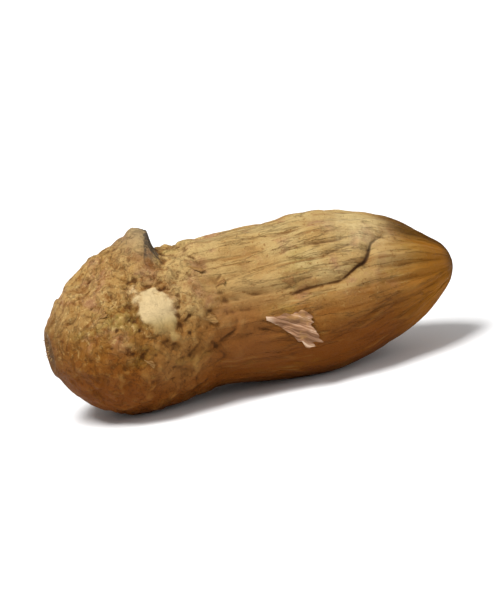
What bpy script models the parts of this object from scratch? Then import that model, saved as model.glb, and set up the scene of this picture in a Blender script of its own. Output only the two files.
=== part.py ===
"""A pistachio nut closed in its dried husk, lying on its side. One solid, in metres, +Z up.

+X points from the blunt stem end to the tip. The origin is under the middle of the nut, on the surface
that it rests on.
"""

import math

import bmesh
import bpy
from mathutils import Matrix, Vector, noise

MM = 0.001

# The nut as a whole
LENGTH = 25.0 * MM
THICKNESS = 9.3 * MM
WIDTH = 9.9 * MM
FLAT_SPOT_CUT = 0.27 * MM

# How the girth runs along the nut. Places along it go from -1 at the stem end to 1 at the tip
TIP_SHOULDER = 0.25
TIP_TAPER = 0.64
TIP_BLUNTNESS = 0.09
TIP_BLUNT_START = 0.85
SWELL_PLACE = 0.36
SWELL_REACH = 0.26
SWELL = 0.043
SWELL_UPPER = 0.25
STEM_SHOULDER = -0.58
STEM_TAPER = 0.64
WAIST_PLACE = -0.20
WAIST_REACH = 0.20
WAIST_DEPTH = 0.065
WAIST_UNDER = 0.6
SIDEWAYS_BEND = 0.35 * MM

# The mesh: rings across the nut and meridians along it
MERIDIANS = 64
RINGS = 88

# Lumps and lengthwise ribs that the husk took as it dried
LUMP_HEIGHT = 0.22 * MM
LUMP_SPACING = 4.6 * MM
RIB_HEIGHT = 0.5 * MM
RIB_SPACING = 1.9 * MM
RIB_LENGTH = 11.0 * MM
RIB_ONSET = 2.0 * MM
RIB_FLATTENING = 2.4
RIB_LOW_CALM = 0.6
KNOB_HEIGHT = 0.36 * MM
KNOB_SPACING = 1.15 * MM
KNOBS_ON_RIBS = 0.25
UNDERSIDE_ANGLE = math.radians(-90)
UNDERSIDE_SPREAD = math.radians(40)
UNDERSIDE_CALM = 0.9
END_CALM = 0.12
END_FULL = 0.72

# The seam that runs from the tip back along the near flank, by its angle above the level
SEAM_END = 0.4 * MM
SEAM_BEND_START = 3.8 * MM
SEAM_BEND_LENGTH = 5.5 * MM
SEAM_LOW_ANGLE = math.radians(18)
SEAM_TURN = math.radians(38)
SEAM_CURVE = 1.6
SEAM_HOOK = math.radians(11)
SEAM_HOOK_START = 6.3 * MM
SEAM_HOOK_END = 7.4 * MM
SEAM_STEP = 0.1 * MM
SEAM_DEPTH = 0.34 * MM
SEAM_HALF_WIDTH = 0.5 * MM
SEAM_LIP = 0.12 * MM
SEAM_LIP_PLACE = 1.1 * MM
SEAM_FADE_START = 6.8 * MM
SEAM_FADE_END = 8.4 * MM
SEAM_FADE = 0.8
BACK_SEAM_ANGLE = math.radians(18)
BACK_SEAM_DEPTH = 0.22 * MM
BACK_SEAM_END = -2.0 * MM
BACK_SEAM_FULL = 3.0 * MM

# The lip of husk that has lifted on top of the stem end
LIP_START = -9.4 * MM
LIP_EDGE = -5.5 * MM
LIP_HEIGHT = 1.38 * MM
LIP_ANGLE = math.radians(88)
LIP_HALF_ANGLE = math.radians(36)
LIP_ROUNDING = 1.2 * MM
LIP_DROP = 0.65 * MM
LIP_CURL = 1.25
LIP_SIDE = 1.05

# The edge of the outer skin round the waist, the bare spot of shell, and the papery scrap
COLLAR_PLACE = -3.2 * MM
COLLAR_SWAY = 1.3 * MM
COLLAR_DEPTH = 0.14 * MM
COLLAR_HALF_WIDTH = 0.5 * MM
SPOT_PLACE = -6.4 * MM
SPOT_ANGLE = math.radians(28)
SPOT_RADIUS = 1.45 * MM
SPOT_SQUEEZE = 0.82
SPOT_HEIGHT = 0.2 * MM
SPOT_DOME = 0.8
SPOT_RIM = 1.15
SPOT_RIM_WIDTH = 0.3
SCRAP_PLACE = 1.5 * MM
SCRAP_ANGLE = math.radians(-6)
SCRAP_LENGTH = 1.4 * MM
SCRAP_WIDTH = 1.0 * MM
SCRAP_HEIGHT = 0.3 * MM
SCRAP_SLANT = 0.44
SCRAP_TILT = 0.4

# The stem scar at one end and the dried point at the other
SCAR_RADIUS = 1.25 * MM
SCAR_DEPTH = 0.5 * MM
SCAR_DISH = 0.75
SCAR_RIM = 0.15 * MM
SCAR_RIM_WIDTH = 0.35 * MM
SCAR_STUB = 0.3 * MM
SCAR_STUB_RADIUS = 0.4 * MM
POINT_RADIUS = 0.3 * MM
POINT_LENGTH = 0.05 * MM

# The husk's dry skin
HUSK_COLOUR = (0.42, 0.235, 0.095, 1.0)
HUSK_ROUGHNESS = 0.72


def bell(value, middle, reach):
    """1 in the middle, falling smoothly to nothing past the reach."""
    return math.exp(-(((value - middle) / reach) ** 2))


def ease(value, start, end):
    """0 before the start, 1 after the end, smooth between them."""
    share = min(max((value - start) / (end - start), 0.0), 1.0)
    return share * share * (3 - 2 * share)


def ridged(point):
    """Rounded backs between narrow valleys, from -0.5 to 0.5."""
    return min(1.0, RIB_FLATTENING * abs(noise.noise(point))) - 0.5


def angle_from(angle, middle):
    """The turn from the middle to the angle, from minus to plus half a turn."""
    return math.remainder(angle - middle, math.tau)


def girth(along, angle):
    """The share of the full girth. The tip's half swells most on top, and the waist is deepest underneath."""
    if along > TIP_SHOULDER:
        reach = (along - TIP_SHOULDER) / (1 - TIP_SHOULDER)
        taper = TIP_TAPER - TIP_BLUNTNESS * ease(reach, TIP_BLUNT_START, 1)
        share = max(1 - reach**2, 0.0) ** taper
    elif along < STEM_SHOULDER:
        reach = (STEM_SHOULDER - along) / (1 + STEM_SHOULDER)
        share = max(1 - reach**2, 0.0) ** STEM_TAPER
    else:
        share = 1.0
    swell = SWELL * (1 + SWELL_UPPER * math.sin(angle)) * bell(along, SWELL_PLACE, SWELL_REACH)
    waist = WAIST_DEPTH * (1 - WAIST_UNDER * math.sin(angle))
    return share * (1 + swell - waist * bell(along, WAIST_PLACE, WAIST_REACH))


def skin_relief(x, y, z, angle):
    """Lumps all over, ribs along the tip's two thirds, lower underneath, and knobs over the stem end."""
    lumps = noise.noise(Vector((x, y, z)) / LUMP_SPACING) * LUMP_HEIGHT
    round_nut = THICKNESS / 2 / RIB_SPACING
    place = Vector((x / RIB_LENGTH, round_nut * math.cos(angle), round_nut * math.sin(angle)))
    low = ease(-math.sin(angle), -0.3, 0.15)
    ribs = ridged(place) * RIB_HEIGHT * (1 - RIB_LOW_CALM * low)
    knobs = noise.noise(Vector((x, y, z)) / KNOB_SPACING) * KNOB_HEIGHT
    ribbed = ease(x, COLLAR_PLACE - RIB_ONSET, COLLAR_PLACE + RIB_ONSET)
    fine = ribs * ribbed + knobs * (1 - ribbed + KNOBS_ON_RIBS * ribbed)
    underside = bell(angle_from(angle, UNDERSIDE_ANGLE), 0, UNDERSIDE_SPREAD)
    return lumps + fine * (1 - UNDERSIDE_CALM * underside)


def seam_angle(x):
    """How far above the level the seam lies: it bends up towards the tip, with a short hook on the way."""
    turn = max((x - SEAM_BEND_START) / SEAM_BEND_LENGTH, 0.0)
    return SEAM_LOW_ANGLE + SEAM_TURN * turn**SEAM_CURVE + SEAM_HOOK * ease(x, SEAM_HOOK_START, SEAM_HOOK_END)


def seam_relief(x, angle, radius):
    """The dark seam on the near flank, between its low lips, and the shallow one on the far side."""
    slope = (seam_angle(x + SEAM_STEP) - seam_angle(x - SEAM_STEP)) / (2 * SEAM_STEP)
    away = angle_from(angle, math.pi - seam_angle(x)) * radius / math.hypot(1, slope * radius)
    faded = 1 - SEAM_FADE * ease(x, SEAM_FADE_START, SEAM_FADE_END)
    strength = ease(x, SEAM_END, SEAM_BEND_START) * faded
    groove = SEAM_DEPTH * bell(away, 0, SEAM_HALF_WIDTH)
    lips = SEAM_LIP * bell(abs(away), SEAM_LIP_PLACE, SEAM_HALF_WIDTH)
    back_away = angle_from(angle, BACK_SEAM_ANGLE) * radius
    back_groove = BACK_SEAM_DEPTH * bell(back_away, 0, SEAM_HALF_WIDTH)
    return strength * (lips - groove) - back_groove * ease(x, BACK_SEAM_END, BACK_SEAM_FULL)


def lip_relief(x, angle):
    """The lifted lip: a tongue that rises from the stem end and drops at its free edge."""
    turn = angle_from(angle, LIP_ANGLE) / LIP_HALF_ANGLE
    edge = LIP_EDGE - LIP_ROUNDING * turn**2
    rise = min(max((x - LIP_START) / (LIP_EDGE - LIP_START), 0.0), 1.0) ** LIP_CURL
    drop = 1 - ease(x, edge, edge + LIP_DROP)
    return LIP_HEIGHT * rise * drop * max(1 - turn**2, 0.0) ** LIP_SIDE


def mark_relief(x, angle, radius):
    """The outer skin's edge round the waist, the bare spot and the papery scrap."""
    near = angle_from(angle, math.pi - SPOT_ANGLE)
    collar = COLLAR_PLACE + COLLAR_SWAY * math.cos(near * 2)
    furrow = COLLAR_DEPTH * bell(x, collar, COLLAR_HALF_WIDTH)
    from_spot = math.hypot((x - SPOT_PLACE) / SPOT_SQUEEZE, near * radius) / SPOT_RADIUS
    spot = SPOT_HEIGHT * (bell(from_spot, 0, SPOT_DOME) - bell(from_spot, SPOT_RIM, SPOT_RIM_WIDTH))
    scrap_turn = angle_from(angle, math.pi - SCRAP_ANGLE) * radius
    scrap_along = (x - SCRAP_PLACE) / SCRAP_LENGTH
    scrap_across = (scrap_turn - SCRAP_SLANT * (x - SCRAP_PLACE)) / SCRAP_WIDTH
    scrap_form = max(1 - scrap_along**2 - scrap_across**2, 0.0) ** 0.5
    scrap = SCRAP_HEIGHT * scrap_form * (1 - SCRAP_TILT + SCRAP_TILT * scrap_along)
    return spot + scrap - furrow


def end_relief(along, radius):
    """Moves along the nut: the sunken stem scar with its stub, and the dried point at the tip."""
    if along < 0:
        dish = SCAR_DEPTH * bell(radius, 0, SCAR_DISH * SCAR_RADIUS)
        rim = SCAR_RIM * bell(radius, SCAR_RADIUS, SCAR_RIM_WIDTH)
        return dish - rim - SCAR_STUB * bell(radius, 0, SCAR_STUB_RADIUS)
    return POINT_LENGTH * bell(radius, 0, POINT_RADIUS)


def husk_point(direction):
    """Where a point of the unit sphere lies on the husk."""
    along = direction.x
    angle = math.atan2(direction.z, direction.y)
    share = girth(along, angle)
    radius = share * THICKNESS / 2
    x = along * LENGTH / 2
    y = share * WIDTH / 2 * math.cos(angle)
    z = radius * math.sin(angle)
    relief = skin_relief(x, y, z, angle) + seam_relief(x, angle, radius) + mark_relief(x, angle, radius)
    relief = relief * ease(share, END_CALM, END_FULL) + lip_relief(x, angle)
    x += end_relief(along, radius)
    y += relief * math.cos(angle) + SIDEWAYS_BEND * (1 - along**2)
    z += relief * math.sin(angle)
    return Vector((x, y, z))


def husk_form():
    """The whole husk, from a sphere whose poles lie at the stem end and the tip."""
    form = bmesh.new()
    bmesh.ops.create_uvsphere(
        form,
        u_segments=MERIDIANS,
        v_segments=RINGS,
        radius=1.0,
        matrix=Matrix.Rotation(math.pi / 2, 4, "Y"),
    )
    for vertex in form.verts:
        vertex.co = husk_point(vertex.co.normalized())
    return form


def cut_flat_spots(form):
    """Trims the lowest skin flat, so that the nut lies still on its two swellings."""
    lowest = min(vertex.co.z for vertex in form.verts)
    everything = form.verts[:] + form.edges[:] + form.faces[:]
    cut = bmesh.ops.bisect_plane(
        form,
        geom=everything,
        plane_co=(0, 0, lowest + FLAT_SPOT_CUT),
        plane_no=(0, 0, 1),
        clear_inner=True,
    )
    rims = [item for item in cut["geom_cut"] if isinstance(item, bmesh.types.BMEdge)]
    bmesh.ops.holes_fill(form, edges=rims)
    bmesh.ops.recalc_face_normals(form, faces=form.faces)


def stand_on_origin(form):
    """Brings the middle of the nut's underside to the origin."""
    low = [min(vertex.co[axis] for vertex in form.verts) for axis in range(3)]
    high = [max(vertex.co[axis] for vertex in form.verts) for axis in range(3)]
    under = Vector(((low[0] + high[0]) / 2, (low[1] + high[1]) / 2, low[2]))
    bmesh.ops.translate(form, verts=form.verts, vec=-under)


def husk_material():
    material = bpy.data.materials.new("dried_husk")
    material.use_nodes = True
    skin = material.node_tree.nodes["Principled BSDF"]
    skin.inputs["Base Color"].default_value = HUSK_COLOUR
    skin.inputs["Roughness"].default_value = HUSK_ROUGHNESS
    skin.inputs["Metallic"].default_value = 0.0
    return material


def make_nut(collection):
    form = husk_form()
    cut_flat_spots(form)
    stand_on_origin(form)
    mesh = bpy.data.meshes.new("husk_nut")
    form.to_mesh(mesh)
    form.free()
    mesh.materials.append(husk_material())
    mesh.shade_smooth()
    collection.objects.link(bpy.data.objects.new("husk_nut", mesh))


for old in list(bpy.data.objects):
    bpy.data.objects.remove(old, do_unlink=True)
nut_collection = bpy.data.collections.new("pistachio_nut")
bpy.context.scene.collection.children.link(nut_collection)
make_nut(nut_collection)
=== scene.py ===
import math
import random

import bmesh
import bpy
from mathutils import Matrix, Vector, kdtree, noise
from mathutils.bvhtree import BVHTree


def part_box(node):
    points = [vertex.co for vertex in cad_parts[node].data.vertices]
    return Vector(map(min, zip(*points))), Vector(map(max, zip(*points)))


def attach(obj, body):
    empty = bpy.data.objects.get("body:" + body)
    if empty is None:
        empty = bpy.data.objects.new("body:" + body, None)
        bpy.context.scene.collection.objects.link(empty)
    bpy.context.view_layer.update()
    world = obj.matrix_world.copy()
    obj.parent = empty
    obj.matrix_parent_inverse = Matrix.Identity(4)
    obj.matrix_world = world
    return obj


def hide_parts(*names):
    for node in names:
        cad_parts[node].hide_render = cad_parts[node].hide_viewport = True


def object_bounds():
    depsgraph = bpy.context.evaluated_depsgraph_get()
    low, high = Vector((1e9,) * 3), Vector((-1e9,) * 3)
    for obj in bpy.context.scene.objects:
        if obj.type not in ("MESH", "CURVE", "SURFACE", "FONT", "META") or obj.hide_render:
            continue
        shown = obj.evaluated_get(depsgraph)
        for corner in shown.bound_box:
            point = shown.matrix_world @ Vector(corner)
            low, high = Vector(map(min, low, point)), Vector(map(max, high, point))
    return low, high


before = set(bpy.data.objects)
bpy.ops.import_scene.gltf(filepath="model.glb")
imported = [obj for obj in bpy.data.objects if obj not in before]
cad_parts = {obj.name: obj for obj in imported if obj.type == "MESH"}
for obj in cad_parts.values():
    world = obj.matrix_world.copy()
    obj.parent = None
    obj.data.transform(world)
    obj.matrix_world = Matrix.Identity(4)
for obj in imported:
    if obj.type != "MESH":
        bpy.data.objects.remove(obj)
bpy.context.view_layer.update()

# The husk. It is the fruit's leathery outer skin, dried hard onto the shell of a nut that stayed shut.
# Drying drew it into lengthwise ribs towards the tip and into a net of pitted wrinkles over the stem end,
# and left a dark seam that runs from the tip back along the near flank.
MM = 0.001
HUSK_LOW, HUSK_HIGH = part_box("husk_nut")
LENGTH = 25.0 * MM
THICKNESS = 9.3 * MM
WIDTH = 9.9 * MM
FLAT_SPOT_CUT = 0.27 * MM
HUSK_MERIDIANS = 304
HUSK_RINGS = 328

# Girth along the nut, from -1 at the stem end to 1 at the tip
TIP_SHOULDER, TIP_TAPER = 0.25, 0.64
TIP_BLUNTNESS, TIP_BLUNT_START = 0.09, 0.85
SWELL_PLACE, SWELL_REACH, SWELL, SWELL_UPPER = 0.36, 0.26, 0.043, 0.25
STEM_SHOULDER, STEM_TAPER = -0.58, 0.64
WAIST_PLACE, WAIST_REACH = -0.20, 0.20
WAIST_DEPTH, WAIST_UNDER = 0.065, 0.6
SIDEWAYS_BEND = 0.35 * MM

# Lumps, ribs and knobs, all calmer towards both ends, and the last two also underneath
LUMP_HEIGHT, LUMP_SPACING = 0.22 * MM, 4.6 * MM
RIB_HEIGHT, RIB_SPACING, RIB_LENGTH = 0.5 * MM, 1.9 * MM, 11.0 * MM
RIB_ONSET, RIB_SOFTNESS, RIDGE_STEEPNESS = 2.0 * MM, 0.045, 2.4
RIB_LOW_CALM, RIB_CALM_START, RIB_CALM_FULL = 0.6, -0.3, 0.15
KNOB_HEIGHT, KNOB_SPACING, KNOBS_ON_RIBS = 0.36 * MM, 1.15 * MM, 0.25
UNDERSIDE_ANGLE, UNDERSIDE_SPREAD = math.radians(-90), math.radians(40)
UNDERSIDE_CALM = 0.9
END_CALM, END_FULL = 0.12, 0.72
FINE_KEPT = 0.4

# Fine wrinkles: lengthwise ones on the ribs, and a raised, grainy net over the stem end
STRIA_HEIGHT, STRIA_SPACING, STRIA_LENGTH = 0.13 * MM, 0.72 * MM, 4.8 * MM
STRIA_WANDER, STRIA_WANDER_SPACING, STRIA_LEAST = 0.16, 2.6 * MM, 0.25
SOFTNESS = 0.07
PATCHY_MIDDLE, PATCHY_SWING, PATCHY_SPACING = 0.75, 0.9, 2.1 * MM
NET_HEIGHT, NET_SPACING, NET_LEAST = 0.1 * MM, 1.05 * MM, 0.2
NET_WARP, NET_WARP_SPACING, NET_RIB_CALM = 0.3 * MM, 1.1 * MM, 0.88
CELL_HEIGHT, CELL_SPACING, CELL_CREASE, CELL_TURN = 0.06 * MM, 1.0 * MM, 0.3, 1.3
CRUMB_HEIGHT, CRUMB_SPACING = 0.13 * MM, 0.55 * MM
GRAIN_HEIGHT, GRAIN_SPACING, GRAIN_RIB_CALM = 0.045 * MM, 0.26 * MM, 0.6

# The seam, by its angle above the level on the near side, with the shallow furrow above it
SEAM_END, SEAM_BEND_START, SEAM_BEND_LENGTH = 0.2 * MM, 3.8 * MM, 5.5 * MM
SEAM_LOW_ANGLE, SEAM_TURN, SEAM_CURVE = math.radians(18), math.radians(38), 1.6
SEAM_HOOK, SEAM_HOOK_START, SEAM_HOOK_END = math.radians(11), 6.3 * MM, 7.4 * MM
SEAM_STEP = 0.1 * MM
SEAM_DISH, SEAM_DISH_WIDTH = 0.15 * MM, 0.55 * MM
SEAM_DEPTH, SEAM_HALF_WIDTH = 0.2 * MM, 0.12 * MM
SEAM_GAPE_PLACE, SEAM_GAPE_REACH, SEAM_GAPE = 6.5 * MM, 0.6 * MM, 0.04 * MM
SEAM_FADE_START, SEAM_FADE_END, SEAM_FADE = 6.8 * MM, 8.4 * MM, 0.8
SEAM_LINE_START, SEAM_LINE_END = 7.8 * MM, 9.4 * MM
SEAM_LIP, SEAM_LIP_PLACE = 0.12 * MM, 0.75 * MM
SEAM_WANDER, SEAM_WANDER_SPACING = 0.3 * MM, 1.1 * MM
CRACK_LEAST, CRACK_MORE, CRACK_MORE_REACH = 0.45, 0.45, 1.7 * SEAM_GAPE_REACH
CRACK_FULL, CRACK_FADE = 2.3 * MM, 0.8
FURROW_ANGLE, FURROW_DEPTH, FURROW_HALF_WIDTH = math.radians(43), 0.18 * MM, 0.26 * MM
FURROW_START, FURROW_FULL = -2.0 * MM, 1.0 * MM
FURROW_FADE_START, FURROW_END = 5.0 * MM, 8.0 * MM
FURROW_WANDER, FURROW_WANDER_SPACING = 2 * SEAM_WANDER, 2.4 * MM
BACK_SEAM_ANGLE, BACK_SEAM_DEPTH = math.radians(18), 0.26 * MM
BACK_SEAM_HALF_WIDTH, BACK_SEAM_WANDER_SPACING = 1.3 * SEAM_HALF_WIDTH, 1.7 * MM
BACK_SEAM_END, BACK_SEAM_FULL = -2.0 * MM, 3.0 * MM
BACK_SEAM_DARKNESS, FURROW_DARKNESS = 0.75, 0.3

# The lip of husk that has lifted on top of the stem end
LIP_START, LIP_EDGE, LIP_HEIGHT = -9.4 * MM, -5.65 * MM, 1.4 * MM
LIP_ANGLE, LIP_HALF_ANGLE = math.radians(88), math.radians(36)
LIP_ROUNDING, LIP_DROP, LIP_CURL, LIP_SIDE = 1.2 * MM, 0.75 * MM, 1.25, 1.1
LIP_OVERHANG, LIP_SPREAD = 0.3 * MM, 2.0
LIP_RAG, LIP_RAG_WAVES = 0.8 * MM, 3.1
LIP_DROOP, LIP_DROOP_START, LIP_DROOP_END = 0.04, -0.7 * MM, 0.1 * MM
LIP_TORN_START, LIP_TORN_FULL, LIP_TORN_FADE = -0.25 * MM, 0.05 * MM, 0.6

# The outer skin's torn edge round the waist, and the bare spot where the shell shows
COLLAR_PLACE, COLLAR_SWAY, COLLAR_WANDER = -3.2 * MM, 1.3 * MM, 0.9 * MM
COLLAR_WANDER_SPACING, COLLAR_GAP_SPACING = 1.1 * MM, 1.7 * MM
COLLAR_GAP, COLLAR_WHOLE = -0.25, 0.2
COLLAR_DEPTH, COLLAR_HALF_WIDTH, COLLAR_DARKNESS = 0.1 * MM, 0.32 * MM, 0.3
COLLAR_STEP, COLLAR_STEP_RISE, COLLAR_STEP_LENGTH = 0.12 * MM, 0.35 * MM, 2.4 * MM
SPOT_PLACE, SPOT_ANGLE = -6.4 * MM, math.radians(28)
SPOT_RADIUS, SPOT_SQUEEZE, SPOT_HEIGHT = 1.45 * MM, 0.82, 0.2 * MM
SPOT_TAIL, SPOT_LEAN, SPOT_CALM = 0.35, 0.3, 0.75
SPOT_RAG, SPOT_RAG_SPACING = 0.3, 0.7 * MM
SPOT_FRAY, SPOT_FRAY_SPACING = 0.16, 0.28 * MM
SPOT_DOME, SPOT_RIM, SPOT_RIM_WIDTH = 0.8, 1.15, 0.3
SPOT_CLEAR, SPOT_EDGE = 0.4, 1.1
SPOT_SHADE_START, SPOT_SHADE_END = -0.3 * MM, 1.7 * MM

# The stem scar at one end and the dried point at the other
SCAR_RADIUS, SCAR_DEPTH = 1.25 * MM, 0.5 * MM
SCAR_DISH_RADIUS, SCAR_STAIN_RADIUS = 0.75 * SCAR_RADIUS, 1.2 * SCAR_RADIUS
SCAR_RIM, SCAR_RIM_WIDTH = 0.15 * MM, 0.35 * MM
SCAR_STUB, SCAR_STUB_RADIUS = 0.3 * MM, 0.4 * MM
POINT_RADIUS, POINT_LENGTH = 0.3 * MM, 0.05 * MM

# Pits: those that stand out on the near flank, by place along the nut (mm) and angle above the level
# (degrees), then others scattered over the stem half of the nut
PLAIN_PITS = [
    (-3.3, 18),
    (-3.4, -9),
    (-9.3, 7),
    (-8.7, 19),
    (-10.9, 45),
    (-8.2, 27),
    (-4.8, 6),
    (-7.2, -24),
]
PIT_COUNT = 28
PITS_START, PITS_END, PITS_THICKEST = -11.5 * MM, 1.0 * MM, -5.0 * MM
PIT_RADII = (0.14 * MM, 0.28 * MM)
PIT_DEPTHS = (0.05 * MM, 0.15 * MM)
PIT_WARP, PIT_WARP_SPACING, PIT_DARKNESS = 0.34 * MM, 0.5 * MM, 0.6

# Creases and hollows are measured against the same husk, smoothed this many times
CREASE_STEPS, CREASE_DEPTH = 6, 0.035 * MM
HOLLOW_STEPS, HOLLOW_DEPTH = 40, 0.1 * MM


def bell(value, middle, reach):
    """1 in the middle, falling smoothly to nothing past the reach."""
    return math.exp(-(((value - middle) / reach) ** 2))


def ease(value, start, end):
    """0 before the start, 1 after the end, smooth between them."""
    share = min(max((value - start) / (end - start), 0.0), 1.0)
    return share * share * (3 - 2 * share)


def ridged(point, softness):
    """Rounded backs between narrow valleys, from -0.5 to 0.5; softness rounds the valleys' floors."""
    return min(1.0, RIDGE_STEEPNESS * (math.hypot(noise.noise(point), softness) - softness)) - 0.5


def waver(place, spacing):
    """A smoothly wandering direction, the same on every run."""
    near = place / spacing
    aside = Vector((31.4, 0.0, 0.0))
    return Vector((noise.noise(near), noise.noise(near + aside), noise.noise(near - aside)))


def angle_from(angle, middle):
    """The turn from the middle to the angle, from minus to plus half a turn."""
    return math.remainder(angle - middle, math.tau)


def on_barrel(along, angle):
    """The place on a plain barrel as thick as the nut, where patterns run along and round it."""
    return Vector((along, THICKNESS / 2 * math.cos(angle), THICKNESS / 2 * math.sin(angle)))


def girth(along, angle):
    """The share of the full girth at a place along the nut."""
    if along > TIP_SHOULDER:
        reach = (along - TIP_SHOULDER) / (1 - TIP_SHOULDER)
        share = max(1 - reach**2, 0.0) ** (TIP_TAPER - TIP_BLUNTNESS * ease(reach, TIP_BLUNT_START, 1))
    elif along < STEM_SHOULDER:
        reach = (STEM_SHOULDER - along) / (1 + STEM_SHOULDER)
        share = max(1 - reach**2, 0.0) ** STEM_TAPER
    else:
        share = 1.0
    waist = WAIST_DEPTH * (1 - WAIST_UNDER * math.sin(angle))
    swell = SWELL * (1 + SWELL_UPPER * math.sin(angle)) * bell(along, SWELL_PLACE, SWELL_REACH)
    return share * (1 + swell - waist * bell(along, WAIST_PLACE, WAIST_REACH))


def coarse_relief(place, angle, ribbed):
    """(lumps, ribs and knobs together) that show from a step away."""
    lumps = noise.noise(place / LUMP_SPACING) * LUMP_HEIGHT
    barrel = on_barrel(place.x, angle) / RIB_SPACING
    barrel.x = place.x / RIB_LENGTH
    low = ease(-math.sin(angle), RIB_CALM_START, RIB_CALM_FULL)
    ribs = ridged(barrel, RIB_SOFTNESS) * RIB_HEIGHT * (1 - RIB_LOW_CALM * low)
    knobs = noise.noise(place / KNOB_SPACING) * KNOB_HEIGHT
    return lumps, ribs * ribbed + knobs * (1 - ribbed + KNOBS_ON_RIBS * ribbed)


def fine_relief(place, angle, ribbed):
    """Lengthwise striations on the ribs, and a net of wrinkles over the stem end."""
    wandered = angle + STRIA_WANDER * noise.noise(place / STRIA_WANDER_SPACING)
    barrel = on_barrel(place.x, wandered) / STRIA_SPACING
    barrel.x = place.x / STRIA_LENGTH
    patchy = noise.noise(place / PATCHY_SPACING + Vector((7.0, 0.0, 0.0)))
    patchy = PATCHY_MIDDLE + PATCHY_SWING * patchy
    striae = ridged(barrel, SOFTNESS) * STRIA_HEIGHT * max(patchy, STRIA_LEAST)
    warped = place + waver(place, NET_WARP_SPACING) * NET_WARP
    net = ridged(warped / NET_SPACING, SOFTNESS) * NET_HEIGHT * max(patchy, NET_LEAST)
    nearest, _ = noise.voronoi(warped / CELL_SPACING)
    cell = ease(nearest[1] - nearest[0], 0.0, CELL_CREASE) - 0.5
    cells = cell * CELL_HEIGHT * max(CELL_TURN - patchy, NET_LEAST)
    crumbs = noise.noise(place / CRUMB_SPACING) * CRUMB_HEIGHT
    grain = noise.noise(place / GRAIN_SPACING) * GRAIN_HEIGHT * (1 - GRAIN_RIB_CALM * ribbed)
    return striae * ribbed + (net + cells + crumbs) * (1 - NET_RIB_CALM * ribbed) + grain


def seam_angle(x):
    """How far above the level the seam lies: it bends up towards the tip, with a short hook on the way."""
    turn = max((x - SEAM_BEND_START) / SEAM_BEND_LENGTH, 0.0)
    hook = SEAM_HOOK * ease(x, SEAM_HOOK_START, SEAM_HOOK_END)
    return SEAM_LOW_ANGLE + SEAM_TURN * turn**SEAM_CURVE + hook


def seam_relief(place, angle, radius):
    """(height, how much painted shade) along the seam, the furrow above it and the far side's seam."""
    x = place.x
    slope = (seam_angle(x + SEAM_STEP) - seam_angle(x - SEAM_STEP)) / (2 * SEAM_STEP)
    away = angle_from(angle, math.pi - seam_angle(x)) * radius / math.hypot(1, slope * radius)
    dish = SEAM_DISH * bell(away, 0, SEAM_DISH_WIDTH)
    lips = SEAM_LIP * bell(abs(away), SEAM_LIP_PLACE, SEAM_DISH_WIDTH)
    away += SEAM_WANDER * noise.noise(Vector((x / SEAM_WANDER_SPACING, 3.7, 0.2)))
    half_width = SEAM_HALF_WIDTH + SEAM_GAPE * bell(x, SEAM_GAPE_PLACE, SEAM_GAPE_REACH)
    faded = 1 - SEAM_FADE * ease(x, SEAM_FADE_START, SEAM_FADE_END)
    strength = ease(x, SEAM_END, SEAM_BEND_START) * faded
    gape = CRACK_LEAST + CRACK_MORE * bell(x, SEAM_GAPE_PLACE, CRACK_MORE_REACH)
    gape *= ease(x, SEAM_END, CRACK_FULL) * (1 - CRACK_FADE * ease(x, SEAM_LINE_START, SEAM_LINE_END))
    crack = gape * bell(away, 0, half_width)
    furrow_away = angle_from(angle, math.pi - FURROW_ANGLE) * radius
    furrow_away += FURROW_WANDER * noise.noise(Vector((x / FURROW_WANDER_SPACING, 6.1, 2.2)))
    furrow = bell(furrow_away, 0, FURROW_HALF_WIDTH) * ease(x, FURROW_START, FURROW_FULL)
    furrow *= 1 - ease(x, FURROW_FADE_START, FURROW_END)
    back_away = angle_from(angle, BACK_SEAM_ANGLE) * radius
    back_away += SEAM_WANDER * noise.noise(Vector((x / BACK_SEAM_WANDER_SPACING, 9.1, 4.2)))
    back = bell(back_away, 0, BACK_SEAM_HALF_WIDTH) * ease(x, BACK_SEAM_END, BACK_SEAM_FULL)
    height = strength * (lips - dish) - SEAM_DEPTH * crack - FURROW_DEPTH * furrow - BACK_SEAM_DEPTH * back
    return height, max(crack, BACK_SEAM_DARKNESS * back, FURROW_DARKNESS * furrow)


def lip_relief(place, angle):
    """(height, how far up the lip, how much of its torn end) of the lifted lip."""
    turn = angle_from(angle, LIP_ANGLE) / LIP_HALF_ANGLE
    rag = LIP_RAG * noise.noise(Vector((turn * LIP_RAG_WAVES, 1.3, 5.1)))
    edge = LIP_EDGE - LIP_ROUNDING * turn**2 + rag * min(1.0, 2 * abs(turn))
    rise = min(max((place.x - LIP_START) / (edge - LIP_START), 0.0), 1.0) ** LIP_CURL
    rise *= 1 - LIP_DROOP * ease(place.x, edge + LIP_DROOP_START, edge + LIP_DROOP_END)
    length = LIP_DROP * (1 + LIP_SPREAD * turn**2)
    drop = 1 - ease(place.x, edge, edge + length)
    side = max(1 - turn**2, 0.0) ** LIP_SIDE
    torn = ease(place.x, edge + LIP_TORN_START, edge + LIP_TORN_FULL)
    torn *= 1 - ease(place.x, edge + LIP_TORN_FADE * length, edge + length)
    return LIP_HEIGHT * rise * drop * side, rise * drop * side, torn * side


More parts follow.
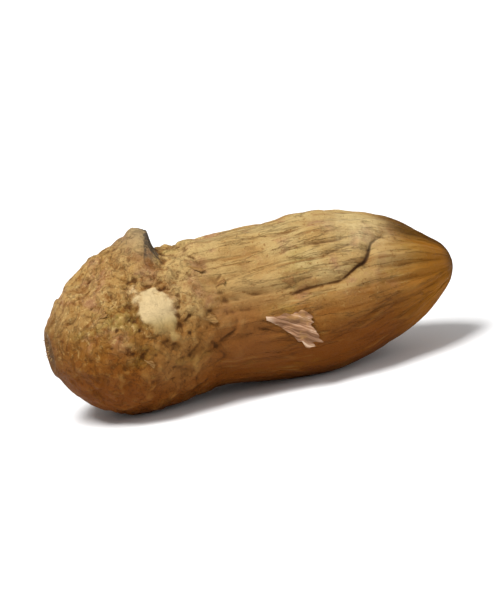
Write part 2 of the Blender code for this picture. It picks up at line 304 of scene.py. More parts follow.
def bare_spot(place, angle, radius):
    """(height, how bare, how far down for its painted shade) of the spot where the husk has worn through to
    the shell.
    """
    below = angle_from(angle, math.pi - SPOT_ANGLE) * radius
    stretch = 1 + SPOT_TAIL * ease(below, 0.0, SPOT_RADIUS)
    ragged = 1 + SPOT_RAG * noise.noise(place / SPOT_RAG_SPACING)
    ragged += SPOT_FRAY * noise.noise(place / SPOT_FRAY_SPACING)
    along = place.x - SPOT_PLACE - SPOT_LEAN * below
    away = math.hypot(along / SPOT_SQUEEZE, below / stretch) / SPOT_RADIUS * ragged
    height = SPOT_HEIGHT * (bell(away, 0, SPOT_DOME) - bell(away, SPOT_RIM, SPOT_RIM_WIDTH))
    return height, 1 - ease(away, SPOT_CLEAR, SPOT_EDGE), ease(below, SPOT_SHADE_START, SPOT_SHADE_END)


def collar_relief(place, angle):
    """(height, how deep in the furrow) where the outer skin ends in a ragged edge round the waist."""
    near = angle_from(angle, math.pi - SPOT_ANGLE)
    middle = COLLAR_PLACE + COLLAR_SWAY * math.cos(near * 2)
    middle += COLLAR_WANDER * noise.noise(on_barrel(0.0, angle) / COLLAR_WANDER_SPACING)
    whole = noise.noise(place / COLLAR_GAP_SPACING + Vector((3.0, 0.0, 0.0)))
    whole = ease(whole, COLLAR_GAP, COLLAR_WHOLE)
    furrow = bell(place.x, middle, COLLAR_HALF_WIDTH) * whole
    step = ease(place.x, middle, middle + COLLAR_STEP_RISE)
    step *= 1 - ease(place.x, middle, middle + COLLAR_STEP_LENGTH)
    return COLLAR_STEP * step * whole - COLLAR_DEPTH * furrow, furrow


def end_relief(along, radius):
    """Moves along the nut: the sunken stem scar with its stub, and the dried point at the tip."""
    if along < 0:
        dish = SCAR_DEPTH * bell(radius, 0, SCAR_DISH_RADIUS)
        rim = SCAR_RIM * bell(radius, SCAR_RADIUS, SCAR_RIM_WIDTH)
        return dish - rim - SCAR_STUB * bell(radius, 0, SCAR_STUB_RADIUS)
    return POINT_LENGTH * bell(radius, 0, POINT_RADIUS)


def pit_field():
    """The pits, found by their place on the barrel, and the radius and depth of each."""
    draw = random.Random(41)
    places = [on_barrel(along * MM, math.pi - math.radians(height)) for along, height in PLAIN_PITS]
    sizes = [(PIT_RADII[1], PIT_DEPTHS[1]) for _ in PLAIN_PITS]
    for _ in range(PIT_COUNT):
        along = draw.triangular(PITS_START, PITS_END, PITS_THICKEST)
        places.append(on_barrel(along, draw.uniform(-math.pi, math.pi)))
        sizes.append((draw.uniform(*PIT_RADII), draw.uniform(*PIT_DEPTHS)))
    tree = kdtree.KDTree(len(places))
    for index, place in enumerate(places):
        tree.insert(place, index)
    tree.balance()
    return tree, sizes


def pit_relief(pits, place, angle):
    """(depth, how deep in a pit) at a place on the husk."""
    tree, sizes = pits
    _, index, distance = tree.find(on_barrel(place.x, angle) + waver(place, PIT_WARP_SPACING) * PIT_WARP)
    radius, depth = sizes[index]
    share = bell(distance, 0, radius)
    return depth * share, share * depth / PIT_DEPTHS[1]


def shape_husk(form):
    """Moves the sphere's points onto the husk, and notes on each what the finish has to show there."""
    names = ("crack", "bare", "faded", "lifted", "torn", "ribbed", "scar", "crease", "hollow")
    notes = {name: form.verts.layers.float.new(name) for name in names}
    barrel_note = form.verts.layers.float_vector.new("barrel")
    pits = pit_field()
    for vertex in form.verts:
        along = max(-1.0, min(1.0, vertex.co.x))
        angle = math.atan2(vertex.co.z, vertex.co.y)
        share = girth(along, angle)
        radius = share * THICKNESS / 2
        sideways = share * WIDTH / 2 * math.cos(angle)
        place = Vector((along * LENGTH / 2, sideways, radius * math.sin(angle)))
        ribbed = ease(place.x, COLLAR_PLACE - RIB_ONSET, COLLAR_PLACE + RIB_ONSET)
        calm = 1 - UNDERSIDE_CALM * bell(angle_from(angle, UNDERSIDE_ANGLE), 0, UNDERSIDE_SPREAD)
        lumps, coarse = coarse_relief(place, angle, ribbed)
        fine = fine_relief(place, angle, ribbed)
        seam, crack = seam_relief(place, angle, radius)
        lip, lifted, torn = lip_relief(place, angle)
        spot, bare, faded = bare_spot(place, angle, radius)
        collar, furrow = collar_relief(place, angle)
        pit, in_pit = pit_relief(pits, place, angle)
        end_share = ease(share, END_CALM, END_FULL)
        skin = coarse * calm + fine * (FINE_KEPT + (1 - FINE_KEPT) * calm) + collar - pit
        relief = (lumps + skin * (1 - SPOT_CALM * bare) + seam + spot) * end_share + lip
        relief += fine * FINE_KEPT * (1 - end_share) * ease(share, 0.0, END_CALM)
        x = place.x + end_relief(along, radius) + LIP_OVERHANG * lifted**2
        y = place.y + relief * math.cos(angle) + SIDEWAYS_BEND * (1 - along**2)
        z = place.z + relief * math.sin(angle)
        vertex.co = Vector((x, y, z))
        vertex[barrel_note] = on_barrel(place.x, angle)
        # Painted shade in the pits and the collar's furrow, noted along with the cracks'
        in_pit *= PIT_DARKNESS
        furrow *= COLLAR_DARKNESS
        vertex[notes["crack"]] = max(crack * end_share, in_pit * (1 - bare), furrow * (1 - bare))
        vertex[notes["bare"]] = bare
        vertex[notes["faded"]] = faded
        vertex[notes["lifted"]] = lifted
        vertex[notes["torn"]] = torn
        vertex[notes["ribbed"]] = ribbed
        vertex[notes["scar"]] = bell(radius, 0, SCAR_STAIN_RADIUS) if along < 0 else 0.0


def seat_husk(form):
    """Flattens the husk where it rests, sets it over the solid that it stands for, and gives the move."""
    lowest = min(vertex.co.z for vertex in form.verts) + FLAT_SPOT_CUT
    for vertex in form.verts:
        vertex.co.z = max(vertex.co.z, lowest)
    low_x, high_x = min(v.co.x for v in form.verts), max(v.co.x for v in form.verts)
    low_y, high_y = min(v.co.y for v in form.verts), max(v.co.y for v in form.verts)
    middle = Vector(((low_x + high_x) / 2, (low_y + high_y) / 2, lowest))
    solid_middle = (HUSK_LOW + HUSK_HIGH) / 2
    move = Vector((solid_middle.x, solid_middle.y, HUSK_LOW.z)) - middle
    bmesh.ops.translate(form, verts=form.verts, vec=move)
    return move


def note_depths(form, name, steps, depth):
    """Notes how far each point lies below the smoothed surface: above 0 in hollows, below 0 on backs."""
    layer = form.verts.layers.float[name]
    rough = [vertex.co.copy() for vertex in form.verts]
    for _ in range(steps):
        bmesh.ops.smooth_vert(
            form, verts=form.verts, factor=0.5, use_axis_x=True, use_axis_y=True, use_axis_z=True
        )
    form.normal_update()
    for vertex, place in zip(form.verts, rough):
        vertex[layer] = (vertex.co - place).dot(vertex.normal) / depth
        vertex.co = place


# Its colours, from golden tan on top to red-brown beneath: partly the husk's own tone, partly painted light
# on top and painted shade beneath
GOLDEN = (0.465, 0.33, 0.135, 1.0)
STEM_GOLD = (0.52, 0.35, 0.138, 1.0)
TAN = (0.36, 0.195, 0.056, 1.0)
STEM_TAN = (0.25, 0.118, 0.021, 1.0)
RUSSET = (0.16, 0.052, 0.006, 1.0)
OLIVE = (0.225, 0.165, 0.034, 1.0)
MAUVE = (0.31, 0.15, 0.078, 1.0)
CREASE_SHADE = (0.07, 0.026, 0.006, 1.0)
CRACK_DARK = (0.04, 0.017, 0.006, 1.0)
SHELL_CREAM = (0.56, 0.415, 0.215, 1.0)
SHELL_SHADE_TAN = (0.38, 0.27, 0.10, 1.0)
LIP_GREY = (0.25, 0.19, 0.115, 1.0)
TORN_END_SHADE = (0.062, 0.047, 0.034, 1.0)
SCAR_BROWN = (0.10, 0.055, 0.024, 1.0)
TIP_BROWN = (0.30, 0.118, 0.010, 1.0)
LIT_CROWN_GOLD = (0.62, 0.48, 0.235, 1.0)
STAIN_AND_SHADE_RED = (0.18, 0.062, 0.014, 1.0)
FLANK_TAN = (0.36, 0.195, 0.06, 1.0)
LOW_SHADE = (0.97, 0.83, 0.52, 1.0)
TIP_DARK = (0.065, 0.025, 0.002, 1.0)
TIP_SHADE = (0.98, 0.92, 0.65, 1.0)

# Where its colours and its painted shade change, by height above the table and by place along the nut
RUSSET_TOP, GOLDEN_FOOT = 1.6 * MM, 8.4 * MM
RED_SHADE_TOP, RED_SHADE_FOOT = 4.6 * MM, 0.4 * MM
SHADE_TOP, SHADE_FOOT = 6.6 * MM, 2.6 * MM
STEM_COLOUR_END, RIB_COLOUR_START = -9.5 * MM, 1.5 * MM
TIP_BROWN_START, TIP_BROWN_FULL = 6.8 * MM, 11.8 * MM
TIP_SHADE_START, TIP_SHADE_FULL = 8.6 * MM, 10.4 * MM
TIP_DARK_START, TIP_DARK_FULL = 11.5 * MM, 12.4 * MM
TIP_CREST_START, TIP_CREST_FULL = 7.6 * MM, 9.8 * MM
TIP_CREST_LOW, TIP_CREST_HIGH = 0.78 * THICKNESS / 2, 0.92 * THICKNESS / 2

# Patches on the near side: the saddle of the waist and the tan flank under the bare spot, each with a colour
# of its own, and a red patch beside the papery scrap, partly the husk's red-brown and partly painted shade
# with orange reflected light. Apart from them, the crown of the tip's shoulder gets painted light.
PATCHES = [
    # place along the nut, angle above the level, reach, strength, colour
    (-1.2 * MM, math.radians(36), 3.8 * MM, 0.35, TAN),
    (-5.4 * MM, math.radians(-12), 3.0 * MM, 0.3, FLANK_TAN),
    # A red patch, partly the husk's red-brown and partly painted shade with orange reflected light
    (-1.3 * MM, math.radians(-4), 3.8 * MM, 0.65, STAIN_AND_SHADE_RED),
]
LIT_CROWN_PLACE, LIT_CROWN_ANGLE, LIT_CROWN_REACH = 7.0 * MM, math.radians(66), 3.2 * MM
MATT_GLOSS = 0.09


class Finish:
    """A material's nodes, added one at a time."""

    def __init__(self, name):
        self.material = bpy.data.materials.new(name)
        self.material.use_nodes = True
        self.nodes = self.material.node_tree.nodes
        self.links = self.material.node_tree.links
        self.skin = self.nodes["Principled BSDF"]
        self.place = self.nodes.new("ShaderNodeTexCoord").outputs["Object"]

    def feed(self, value, socket):
        if isinstance(value, bpy.types.NodeSocket):
            self.links.new(value, socket)
        else:
            socket.default_value = value

    def note(self, name, output="Fac"):
        """What the mesh holds for each of its points under this name."""
        node = self.nodes.new("ShaderNodeAttribute")
        node.attribute_name = name
        return node.outputs[output]

    def stretched(self, place, stretch):
        """The place, multiplied along each axis by its own amount."""
        node = self.nodes.new("ShaderNodeMapping")
        node.inputs["Scale"].default_value = stretch
        self.links.new(place, node.inputs["Vector"])
        return node.outputs["Vector"]

    def part_of(self, place, axis):
        node = self.nodes.new("ShaderNodeSeparateXYZ")
        self.links.new(place, node.inputs["Vector"])
        return node.outputs[axis]

    def cloud(self, size, detail, roughness, place=None, distortion=0.0):
        """A soft random share whose patches are about the size given."""
        node = self.nodes.new("ShaderNodeTexNoise")
        node.inputs["Scale"].default_value = 1 / size
        node.inputs["Detail"].default_value = detail
        node.inputs["Roughness"].default_value = roughness
        node.inputs["Distortion"].default_value = distortion
        self.links.new(place or self.place, node.inputs["Vector"])
        return node.outputs["Fac"]

    def between(self, value, low, high, to_low=0.0, to_high=1.0):
        """The value's place from low to high, smoothed and clamped."""
        node = self.nodes.new("ShaderNodeMapRange")
        node.interpolation_type = "SMOOTHSTEP"
        self.feed(value, node.inputs["Value"])
        node.inputs["From Min"].default_value = low
        node.inputs["From Max"].default_value = high
        node.inputs["To Min"].default_value = to_low
        node.inputs["To Max"].default_value = to_high
        return node.outputs["Result"]

    def reckon(self, operation, first, second):
        node = self.nodes.new("ShaderNodeMath")
        node.operation = operation
        self.feed(first, node.inputs[0])
        self.feed(second, node.inputs[1])
        return node.outputs["Value"]

    def times(self, first, second):
        return self.reckon("MULTIPLY", first, second)

    def mix(self, share, first, second, blend="MIX"):
        node = self.nodes.new("ShaderNodeMix")
        node.data_type = "RGBA"
        node.blend_type = blend
        self.feed(share, node.inputs[0])
        self.feed(first, node.inputs[6])
        self.feed(second, node.inputs[7])
        return node.outputs[2]

    def near(self, place, middle, reach):
        """1 at the middle, fading to 0 at the reach."""
        node = self.nodes.new("ShaderNodeVectorMath")
        node.operation = "DISTANCE"
        self.links.new(place, node.inputs[0])
        node.inputs[1].default_value = middle
        return self.between(node.outputs["Value"], reach, 0.2 * reach)

    def line(self, value, half_width):
        """1 along the thin wandering lines where a cloud passes its middle value."""
        away = self.reckon("ABSOLUTE", self.reckon("SUBTRACT", value, 0.5), 0.0)
        return self.between(away, half_width, 0.0)

    def bump(self, height, depth, strength, under=None):
        node = self.nodes.new("ShaderNodeBump")
        node.inputs["Strength"].default_value = strength
        node.inputs["Distance"].default_value = depth
        self.feed(height, node.inputs["Height"])
        if under is not None:
            self.links.new(under, node.inputs["Normal"])
        return node.outputs["Normal"]


def husk_finish():
    """Ochre skin with streaks on the ribs and mottling at the stem end, with painted shade in every crease,
    crack and hollow, beneath and at the tip, and painted light on top.
    """
    finish = Finish("dried_husk")
    barrel = finish.note("barrel", "Vector")
    ribbed = finish.note("ribbed")
    unribbed = finish.reckon("SUBTRACT", 1.0, ribbed)

    # Golden on top and russet beneath, with broad mauve and olive patches. The gold on top, paler still on
    # the crown, is partly painted light, and the russet beneath is partly painted shade.
    height = finish.part_of(finish.place, "Z")
    along = finish.part_of(barrel, "X")
    up = finish.between(height, RUSSET_TOP, GOLDEN_FOOT)
    patches = finish.between(finish.cloud(3.0 * MM, 4.0, 0.6), 0.34, 0.6, 0.3, 1.0)
    on_ribs = finish.between(along, STEM_COLOUR_END, RIB_COLOUR_START)
    colour = finish.mix(up, RUSSET, finish.mix(on_ribs, STEM_TAN, TAN))
    pale = finish.mix(on_ribs, STEM_GOLD, GOLDEN)
    crown = finish.times(finish.between(up, 0.45, 1.0), finish.between(on_ribs, 0.0, 1.0, 0.5, 1.0))
    colour = finish.mix(finish.times(crown, patches), colour, pale)
    mauves = finish.between(finish.cloud(2.1 * MM, 5.0, 0.62), 0.52, 0.66, 0.0, 0.7)
    colour = finish.mix(finish.times(mauves, finish.between(up, 0.2, 0.8)), colour, MAUVE)
    lengthened = finish.stretched(barrel, (0.45, 1.0, 1.0))
    olives = finish.between(finish.cloud(2.7 * MM, 5.0, 0.62, lengthened), 0.53, 0.68, 0.0, 0.6)
    colour = finish.mix(olives, colour, OLIVE)

    # Streaks along the ribs, and blotches and mottles over the stem end
    streaks = finish.cloud(0.42 * MM, 6.0, 0.62, finish.stretched(barrel, (0.11, 1.0, 1.0)), 0.3)
    dark_streaks = finish.between(streaks, 0.5, 0.68, 0.0, 0.65)
    colour = finish.mix(finish.times(dark_streaks, ribbed), colour, RUSSET)
    pale_streaks = finish.between(streaks, 0.44, 0.3, 0.0, 0.5)
    colour = finish.mix(finish.times(pale_streaks, ribbed), colour, GOLDEN)
    blotches = finish.between(finish.cloud(1.5 * MM, 5.0, 0.65), 0.5, 0.64, 0.0, 0.5)
    colour = finish.mix(finish.times(blotches, unribbed), colour, RUSSET)
    mottles = finish.cloud(0.55 * MM, 6.0, 0.72)
    dark_mottles = finish.between(mottles, 0.5, 0.64, 0.0, 0.7)
    colour = finish.mix(finish.times(dark_mottles, unribbed), colour, RUSSET)
    pale_mottles = finish.times(finish.between(mottles, 0.46, 0.34, 0.0, 0.75), unribbed)
    pale_mottles = finish.times(pale_mottles, finish.between(up, 0.1, 0.9, 0.2, 1.0))
    colour = finish.mix(pale_mottles, colour, STEM_GOLD)

    # Fine specks all over, and thin dark lines of painted shade in the pressed-in wrinkles: a net over the
    # stem end, lengthwise on the ribs
    specks = finish.between(finish.cloud(0.2 * MM, 3.0, 0.6), 0.58, 0.68, 0.0, 0.6)
    colour = finish.mix(specks, colour, RUSSET)
    pale_specks = finish.between(finish.cloud(0.24 * MM, 3.0, 0.6), 0.4, 0.3, 0.0, 0.5)
    colour = finish.mix(finish.times(pale_specks, up), colour, pale)
    wrinkles = finish.line(finish.cloud(0.8 * MM, 5.0, 0.6, None, 0.6), 0.03)
    colour = finish.mix(finish.times(finish.times(wrinkles, 0.25), unribbed), colour, CREASE_SHADE)
    lengthened = finish.stretched(barrel, (0.13, 1.0, 1.0))
    furrows = finish.line(finish.cloud(0.8 * MM, 5.0, 0.55, lengthened, 0.3), 0.024)
    colour = finish.mix(finish.times(finish.times(furrows, 0.36), ribbed), colour, CREASE_SHADE)

    # Painted shade, darker in the hollows and towards the table; paler on the backs
    hollow = finish.note("hollow")
    colour = finish.mix(finish.between(hollow, 0.0, 1.6, 0.0, 0.6), colour, RUSSET)
    colour = finish.mix(finish.between(hollow, -0.2, -1.6, 0.0, 0.35), colour, pale)
    colour = finish.mix(finish.between(height, RED_SHADE_TOP, RED_SHADE_FOOT, 0.0, 0.55), colour, RUSSET)
    colour = finish.mix(finish.between(height, SHADE_TOP, SHADE_FOOT), colour, LOW_SHADE, "MULTIPLY")

    # The patches, the painted shade in the creases, and painted light on the crown of the tip's shoulder
    for place, angle, reach, strength, patch_colour in PATCHES:
        patch = finish.near(barrel, on_barrel(place, math.pi - angle), reach)
        colour = finish.mix(finish.times(patch, strength), colour, patch_colour)
    # Painted shade in the creases
    creases = finish.between(finish.note("crease"), 0.2, 1.5, 0.0, 0.75)
    colour = finish.mix(creases, colour, CREASE_SHADE)
    # Painted light, a paler gold on the crown of the tip's shoulder where the top is lit
    lit_crown = finish.near(barrel, on_barrel(LIT_CROWN_PLACE, math.pi - LIT_CROWN_ANGLE), LIT_CROWN_REACH)
    lit_crown = finish.times(lit_crown, finish.between(mottles, 0.38, 0.55, 0.65, 0.35))
    colour = finish.mix(lit_crown, colour, LIT_CROWN_GOLD)

    # The tip, brown with a darker crest and end. The brown is partly painted shade where the tip turns away
    # from the lamps, and the darker crest and end are painted shade.
    tip = finish.between(along, TIP_BROWN_START, TIP_BROWN_FULL, 0.0, 0.9)
    colour = finish.mix(tip, colour, TIP_BROWN)
    tip_shade = finish.between(along, TIP_SHADE_START, TIP_SHADE_FULL)
    colour = finish.mix(tip_shade, colour, TIP_SHADE, "MULTIPLY")
    tip_end = finish.between(along, TIP_DARK_START, TIP_DARK_FULL, 0.0, 0.7)
    colour = finish.mix(tip_end, colour, TIP_DARK)
    tip_crest = finish.between(finish.part_of(barrel, "Z"), TIP_CREST_LOW, TIP_CREST_HIGH)
    tip_crest = finish.times(tip_crest, finish.between(along, TIP_CREST_START, TIP_CREST_FULL, 0.0, 0.75))
    colour = finish.mix(tip_crest, colour, TIP_DARK)

    # The stem scar, the lip with its torn end, the bare spot, and the cracks. The torn end, the lower part
    # of the bare spot and the cracks get painted shade.
    colour = finish.mix(finish.times(finish.note("scar"), 0.8), colour, SCAR_BROWN)
    colour = finish.mix(finish.between(finish.note("lifted"), 0.2, 0.9, 0.0, 0.6), colour, LIP_GREY)
    # The bare shell: its own cream, turning tan and less bare lower down, which is painted shade
    faded = finish.note("faded")
    shell = finish.mix(finish.between(faded, 0.1, 0.9), SHELL_CREAM, SHELL_SHADE_TAN)
    ragged_edge = finish.between(finish.cloud(0.5 * MM, 4.0, 0.6), 0.32, 0.68, 0.6, 1.5)
    bare = finish.between(finish.times(finish.note("bare"), ragged_edge), 0.08, 0.62)
    bare = finish.times(bare, finish.between(faded, 0.4, 1.0, 1.0, 0.5))
    colour = finish.mix(bare, colour, shell)
    # Painted shade on the lip's torn end, which faces away from the lamps
    frayed = finish.between(finish.cloud(0.35 * MM, 4.0, 0.6), 0.3, 0.6, 0.4, 1.0)
    torn = finish.between(finish.times(finish.note("torn"), frayed), 0.2, 0.6, 0.0, 0.9)
    colour = finish.mix(torn, colour, TORN_END_SHADE)
    # Painted shade in the cracks, pits and furrows
    colour = finish.mix(finish.between(finish.note("crack"), 0.22, 0.95, 0.0, 0.88), colour, CRACK_DARK)
    finish.links.new(colour, finish.skin.inputs["Base Color"])

    gloss = finish.between(finish.cloud(0.9 * MM, 4.0, 0.6), 0.3, 0.7, 0.6, 0.85)
    finish.links.new(gloss, finish.skin.inputs["Roughness"])
    finish.skin.inputs["Specular IOR Level"].default_value = MATT_GLOSS

    # Grain all over, fibres along the ribs, and the thin dark lines pressed in
    grain = finish.cloud(0.16 * MM, 5.0, 0.7)
    fibres = finish.cloud(0.15 * MM, 5.0, 0.6, finish.stretched(barrel, (0.12, 1.0, 1.0)), 0.2)
    normal = finish.bump(grain, 0.13 * MM, 0.9)
    normal = finish.bump(finish.times(fibres, ribbed), 0.09 * MM, 0.8, normal)
    wrinkled = finish.times(unribbed, finish.between(bare, 0.0, 0.6, 1.0, 0.35))
    normal = finish.bump(finish.times(wrinkles, wrinkled), -0.065 * MM, 0.72, normal)
    normal = finish.bump(finish.times(furrows, ribbed), -0.07 * MM, 0.7, normal)
    finish.links.new(normal, finish.skin.inputs["Normal"])
    return finish.material


def add_piece(name, form, material):
    """Makes the finished mesh an object at the origin, riding with the nut."""
    mesh = bpy.data.meshes.new(name)
    form.to_mesh(mesh)
    form.free()
    mesh.materials.append(material)
    mesh.shade_smooth()
    piece = bpy.data.objects.new(name, mesh)
    bpy.context.scene.collection.objects.link(piece)
    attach(piece, "root")
    return piece


husk_form = bmesh.new()
bmesh.ops.create_uvsphere(
    husk_form,
    u_segments=HUSK_MERIDIANS,
    v_segments=HUSK_RINGS,
    radius=1.0,
    matrix=Matrix.Rotation(math.pi / 2, 4, "Y"),
)
shape_husk(husk_form)
husk_move = seat_husk(husk_form)
note_depths(husk_form, "crease", CREASE_STEPS, CREASE_DEPTH)
note_depths(husk_form, "hollow", HOLLOW_STEPS, HOLLOW_DEPTH)
husk_tree = BVHTree.FromBMesh(husk_form)
husk = add_piece("husk", husk_form, husk_finish())
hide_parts("husk_nut")

# The papery scrap. A fan of the outermost skin has come loose on the near flank. It still holds at its
# narrow left end, and the thin pinkish sheet lifts off the husk towards its wide, ragged lower right end.
SCRAP_PLACE, SCRAP_ANGLE = 1.2 * MM, math.radians(-4)
SCRAP_LENGTH, SCRAP_WIDTH, SCRAP_THICKNESS = 2.7 * MM, 1.9 * MM, 0.035 * MM
SCRAP_SLANT, SCRAP_LIFT, SCRAP_SEED = 0.44, 0.36 * MM, 5.0
SLAB_COLUMNS, SLAB_ROWS = 44, 24
FLAKE_NARROW, FLAKE_PLEATS, FLAKE_PLEAT_HEIGHT, FLAKE_PLEAT_WANDER = 0.1, 2.6, 0.07, 3
FLAKE_SIDE_RAG, FLAKE_END_RAG, FLAKE_END_FRAY, FLAKE_ROUNDED_CORNERS = 0.3, 0.35, 0.25, 0.25
FLAKE_THIN_EDGE = 0.6
FAN_STRETCH, FAN_SHIFT = 0.12, 0.1
PAPER_PALE = (0.60, 0.415, 0.28, 1.0)
PAPER_PINK = (0.33, 0.175, 0.092, 1.0)
PAPER_MAUVE = (0.16, 0.072, 0.03, 1.0)


def on_husk(along, angle):
    """(place, outward direction) on the finished husk, by the place along the nut and round it."""
    bend = SIDEWAYS_BEND * (1 - (along / (LENGTH / 2)) ** 2)
    outward = Vector((0.0, math.cos(angle), math.sin(angle)))
    from_outside = Vector((along, bend, 0.0)) + husk_move + outward * LENGTH
    place, _, _, _ = husk_tree.ray_cast(from_outside, -outward)
    return place, outward


def make_slab(form):
    """Adds a closed sheet from -1 to 1 both ways, with its upper side at height 1, and gives its points."""
    lower = bmesh.ops.create_grid(form, x_segments=SLAB_COLUMNS, y_segments=SLAB_ROWS, size=1.0)["verts"]
    faces = list(dict.fromkeys(face for vertex in lower for face in vertex.link_faces))
    raised = bmesh.ops.extrude_face_region(form, geom=faces, use_keep_orig=True)["geom"]
    upper = [item for item in raised if isinstance(item, bmesh.types.BMVert)]
    bmesh.ops.translate(form, verts=upper, vec=(0.0, 0.0, 1.0))
    return lower + upper


def lay_flake(form, along, angle, length, width, slant, lift, thickness, seed):
    """Adds a thin pleated fan of skin, held at its narrow end and lifted towards its wide one."""
    fan_note = form.verts.layers.float_vector["fan"]
    for vertex in make_slab(form):
        lengthways, across = vertex.co.x, vertex.co.y
        opened = ease(lengthways, -1.2, 1.0)
        free = ease(lengthways, 0.0, 1.0)
        side = math.copysign(4.0, across)
        rag = 1 + FLAKE_SIDE_RAG * noise.noise(Vector((lengthways * 2.7, side, seed)))
        half_width = width / 2 * (FLAKE_NARROW + (1 - FLAKE_NARROW) * opened) * rag
        end_rag = FLAKE_END_RAG * noise.noise(Vector((across * 1.7, 8.0, seed)))
        end_rag += FLAKE_END_FRAY * noise.noise(Vector((across * 5.5, 2.0, seed)))
        run = length / 2 * (lengthways + (end_rag - FLAKE_ROUNDED_CORNERS * across**4) * free)
        turn = (across * half_width + slant * run) / (THICKNESS / 2)
        place, outward = on_husk(along + run, angle + turn)
        raised = lift * ease(lengthways, -0.7, 1.2) * (0.5 + 0.5 * across)
        wander = FLAKE_PLEAT_WANDER * noise.noise(Vector((lengthways * 0.9, across, seed)))
        pleats = math.sin(across * FLAKE_PLEATS * math.pi + wander)
        folds = width * FLAKE_PLEAT_HEIGHT * opened * (pleats + 1)
        thinned = 1 - FLAKE_THIN_EDGE * max(abs(lengthways), abs(across)) ** 4
        height = thickness * vertex.co.z * thinned
        vertex.co = place + outward * (height + raised + folds * 0.5)
        vertex[fan_note] = Vector((lengthways * FAN_STRETCH, across * opened, seed * FAN_SHIFT))


def make_flakes(name, material, flakes):
    """Adds one piece that holds all the flakes given."""
    form = bmesh.new()
    form.verts.layers.float_vector.new("fan")
    for flake in flakes:
        lay_flake(form, *flake)
    bmesh.ops.recalc_face_normals(form, faces=form.faces)
    add_piece(name, form, material)


def paper_finish(name, pale, middle, dark):
    """Thin dried skin with fine veins that fan out along it."""
    finish = Finish(name)
    fan = finish.note("fan", "Vector")
    veins = finish.cloud(0.2, 4.0, 0.65, fan, 0.2)
    colour = finish.mix(finish.between(veins, 0.4, 0.54), dark, middle)
    colour = finish.mix(finish.between(veins, 0.54, 0.62), colour, pale)
    held_end = finish.between(finish.part_of(fan, "X"), -0.07, -0.11, 0.0, 0.8)
    colour = finish.mix(held_end, colour, pale)
    blotches = finish.between(finish.cloud(0.7 * MM, 4.0, 0.6), 0.5, 0.64, 0.0, 0.45)
    colour = finish.mix(blotches, colour, TAN)
    finish.links.new(colour, finish.skin.inputs["Base Color"])
    finish.skin.inputs["Roughness"].default_value = 0.6
    finish.skin.inputs["Specular IOR Level"].default_value = 0.2
    finish.links.new(finish.bump(veins, 0.08 * MM, 0.9), finish.skin.inputs["Normal"])
    return finish.material


scrap = (
    SCRAP_PLACE,
    math.pi - SCRAP_ANGLE,
    SCRAP_LENGTH,
    SCRAP_WIDTH,
    SCRAP_SLANT,
    SCRAP_LIFT,
    SCRAP_THICKNESS,
    SCRAP_SEED,
)
make_flakes("papery_scrap", paper_finish("papery_skin", PAPER_PALE, PAPER_PINK, PAPER_MAUVE), [scrap])

# Small flakes of husk. Where the outer skin ends round the waist, and along the seam, bits of it have curled
# up as they dried. Each is a thin brown chip that still holds at one end.
FLAKE_THICKNESS = 0.05 * MM
FLAKE_WIDTH_SHARE, FLAKE_LIFT_SHARE = 0.7, 0.16
FLAKE_FIRST_SEED, FLAKE_SEED_STEP = 11.0, 3.7
FLAKE_PALE = (0.30, 0.165, 0.05, 1.0)
FLAKE_TAN = (0.26, 0.135, 0.038, 1.0)
FLAKE_DARK = (0.16, 0.07, 0.016, 1.0)
FLAKES = [
    # place along the nut (mm), angle above the level on the near side (degrees), length (mm), slant
    (-3.3, 52, 0.8, 0.5),
    (-2.2, 36, 0.7, -0.4),
    (-3.4, 12, 0.8, 0.2),
    (0.8, 135, 0.6, -0.6),
    (1.6, 25, 0.7, 0.3),
    (-9.4, 33, 0.55, -0.3),
    (-7.4, -8, 0.5, 0.7),
    (-3.0, 118, 0.8, -0.2),
    (-2.6, 160, 0.9, 0.4),
    (-6.8, 140, 0.7, -0.5),
]

flakes = []
for number, (along, height, length, slant) in enumerate(FLAKES):
    place = (along * MM, math.pi - math.radians(height))
    sizes = (length * MM, FLAKE_WIDTH_SHARE * length * MM)
    stand = (slant, FLAKE_LIFT_SHARE * length * MM, FLAKE_THICKNESS)
    flakes.append(place + sizes + stand + (FLAKE_FIRST_SEED + FLAKE_SEED_STEP * number,))
make_flakes("skin_flakes", paper_finish("flaking_skin", FLAKE_PALE, FLAKE_TAN, FLAKE_DARK), flakes)

# The stem fibres. Where the stalk broke away, a few short, stiff strands stand out of the sunken scar. They
# are the ends of the stalk's woody bundles, dried brown and splayed.
FIBRE_COUNT = 15
FIBRE_LENGTHS = (0.3 * MM, 0.55 * MM)
FIBRE_RADII = (0.035 * MM, 0.06 * MM)
FIBRE_RING = 0.6 * MM
FIBRE_SINK, FIBRE_TAPER = 0.15 * MM, 0.7
FIBRE_SPLAY, FIBRE_BEND = 0.45, 0.25 * MM
FIBRE_PALE = (0.33, 0.21, 0.09, 1.0)
FIBRE_DARK = (0.12, 0.06, 0.022, 1.0)


def stand_fibre(form, root, direction, bend, length, radius):
    """Adds one tapered strand, bent over to one side, whose foot is sunk in the scar."""
    new = bmesh.ops.create_uvsphere(form, u_segments=8, v_segments=14, radius=1.0)["verts"]
    to_strand = direction.to_track_quat("Z", "Y").to_matrix()
    for vertex in new:
        along = (vertex.co.z + 1) / 2
        thick = radius * (1 - FIBRE_TAPER * along)
        offset = to_strand @ Vector((vertex.co.x * thick, vertex.co.y * thick, along * length))
        vertex.co = root + offset + bend * along**2


def fibre_finish():
    """Woody brown, grained along the nut."""
    finish = Finish("stem_fibre")
    grain = finish.cloud(0.12 * MM, 3.0, 0.6, finish.stretched(finish.place, (0.3, 1.0, 1.0)))
    colour = finish.mix(finish.between(grain, 0.38, 0.62), FIBRE_DARK, FIBRE_PALE)
    finish.links.new(colour, finish.skin.inputs["Base Color"])
    finish.skin.inputs["Roughness"].default_value = 0.8
    finish.skin.inputs["Specular IOR Level"].default_value = 0.15
    return finish.material


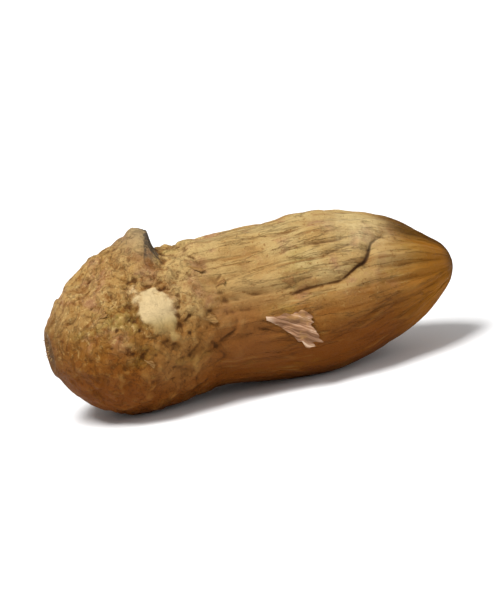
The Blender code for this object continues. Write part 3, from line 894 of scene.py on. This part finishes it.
def stand_fibres():
    """Stands the strands round the middle of the scar, each with its foot in the husk."""
    form = bmesh.new()
    draw = random.Random(7)
    for number in range(FIBRE_COUNT):
        around = math.tau * number / FIBRE_COUNT + draw.uniform(-0.2, 0.2)
        out = Vector((0.0, math.cos(around), math.sin(around)))
        from_left = Vector((-LENGTH, 0.0, THICKNESS / 2)) + out * FIBRE_RING * draw.uniform(0.35, 1.0)
        foot, _, _, _ = husk_tree.ray_cast(from_left, Vector((1.0, 0.0, 0.0)))
        direction = (Vector((-1.0, 0.0, 0.0)) + out * FIBRE_SPLAY * draw.uniform(0.3, 1.0)).normalized()
        aside = Vector((0.0, draw.uniform(-1, 1), draw.uniform(-1, 1)))
        bend = (out + aside) * FIBRE_BEND * draw.uniform(0.2, 1.0)
        root = foot - direction * FIBRE_SINK
        stand_fibre(form, root, direction, bend, draw.uniform(*FIBRE_LENGTHS), draw.uniform(*FIBRE_RADII))
    bmesh.ops.recalc_face_normals(form, faces=form.faces)
    add_piece("stem_fibres", form, fibre_finish())


stand_fibres()

# The table under the nut, a plain pale sheet. A broad lamp stands above it and to the front left, a weaker
# one to the front right, in a pale room. The camera is low in front of the near flank, rolled so that the
# nut slants as it does in the photograph.
FLOOR_SIZE = 3.0
FLOOR_WHITE = (0.82, 0.82, 0.82, 1.0)
CAMERA_AZIMUTH, CAMERA_ELEVATION = math.radians(-12), math.radians(14)
CAMERA_ROLL = math.radians(10)
CAMERA_DISTANCE, CAMERA_LENS = 0.26, 265.0
CAMERA_CLIP = 0.01
LOOK_AT = Vector((0.0, 0.0, 4.9 * MM))
KEY_PLACE, KEY_SIZE, KEY_POWER = (-0.24, -0.14, 0.60), 0.26, 6.0
FILL_PLACE, FILL_SIZE, FILL_POWER = (0.44, -0.40, 0.32), 0.4, 0.8
ROOM_WHITE, ROOM_STRENGTH = (1.0, 1.0, 1.0, 1.0), 0.42


def add_floor():
    form = bmesh.new()
    bmesh.ops.create_grid(form, x_segments=1, y_segments=1, size=FLOOR_SIZE / 2)
    mesh = bpy.data.meshes.new("floor")
    form.to_mesh(mesh)
    form.free()
    finish = Finish("pale_floor")
    finish.skin.inputs["Base Color"].default_value = FLOOR_WHITE
    finish.skin.inputs["Roughness"].default_value = 0.9
    mesh.materials.append(finish.material)
    floor = bpy.data.objects.new("floor", mesh)
    floor.location.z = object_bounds()[0][2]
    bpy.context.scene.collection.objects.link(floor)


def add_lamp(name, place, size, power):
    lamp = bpy.data.lights.new(name, "AREA")
    lamp.size = size
    lamp.energy = power
    holder = bpy.data.objects.new(name, lamp)
    holder.location = place
    holder.rotation_euler = (LOOK_AT - Vector(place)).to_track_quat("-Z", "Y").to_euler()
    bpy.context.scene.collection.objects.link(holder)


def add_camera():
    camera = bpy.data.objects.new("camera", bpy.data.cameras.new("camera"))
    camera.data.lens = CAMERA_LENS
    camera.data.clip_start = CAMERA_CLIP
    level = Vector((math.sin(CAMERA_AZIMUTH), -math.cos(CAMERA_AZIMUTH), 0.0)) * math.cos(CAMERA_ELEVATION)
    camera.location = LOOK_AT + (level + Vector((0, 0, math.sin(CAMERA_ELEVATION)))) * CAMERA_DISTANCE
    aim = (LOOK_AT - camera.location).to_track_quat("-Z", "Y").to_matrix()
    camera.rotation_euler = (aim @ Matrix.Rotation(-CAMERA_ROLL, 3, "Z")).to_euler()
    bpy.context.scene.collection.objects.link(camera)
    bpy.context.scene.camera = camera


def light_room():
    world = bpy.data.worlds.new("studio")
    world.use_nodes = True
    background = world.node_tree.nodes["Background"]
    background.inputs["Color"].default_value = ROOM_WHITE
    background.inputs["Strength"].default_value = ROOM_STRENGTH
    bpy.context.scene.world = world
    bpy.context.scene.view_settings.view_transform = "Standard"


add_floor()
add_lamp("key_light", KEY_PLACE, KEY_SIZE, KEY_POWER)
add_lamp("fill_light", FILL_PLACE, FILL_SIZE, FILL_POWER)
add_camera()
light_room()
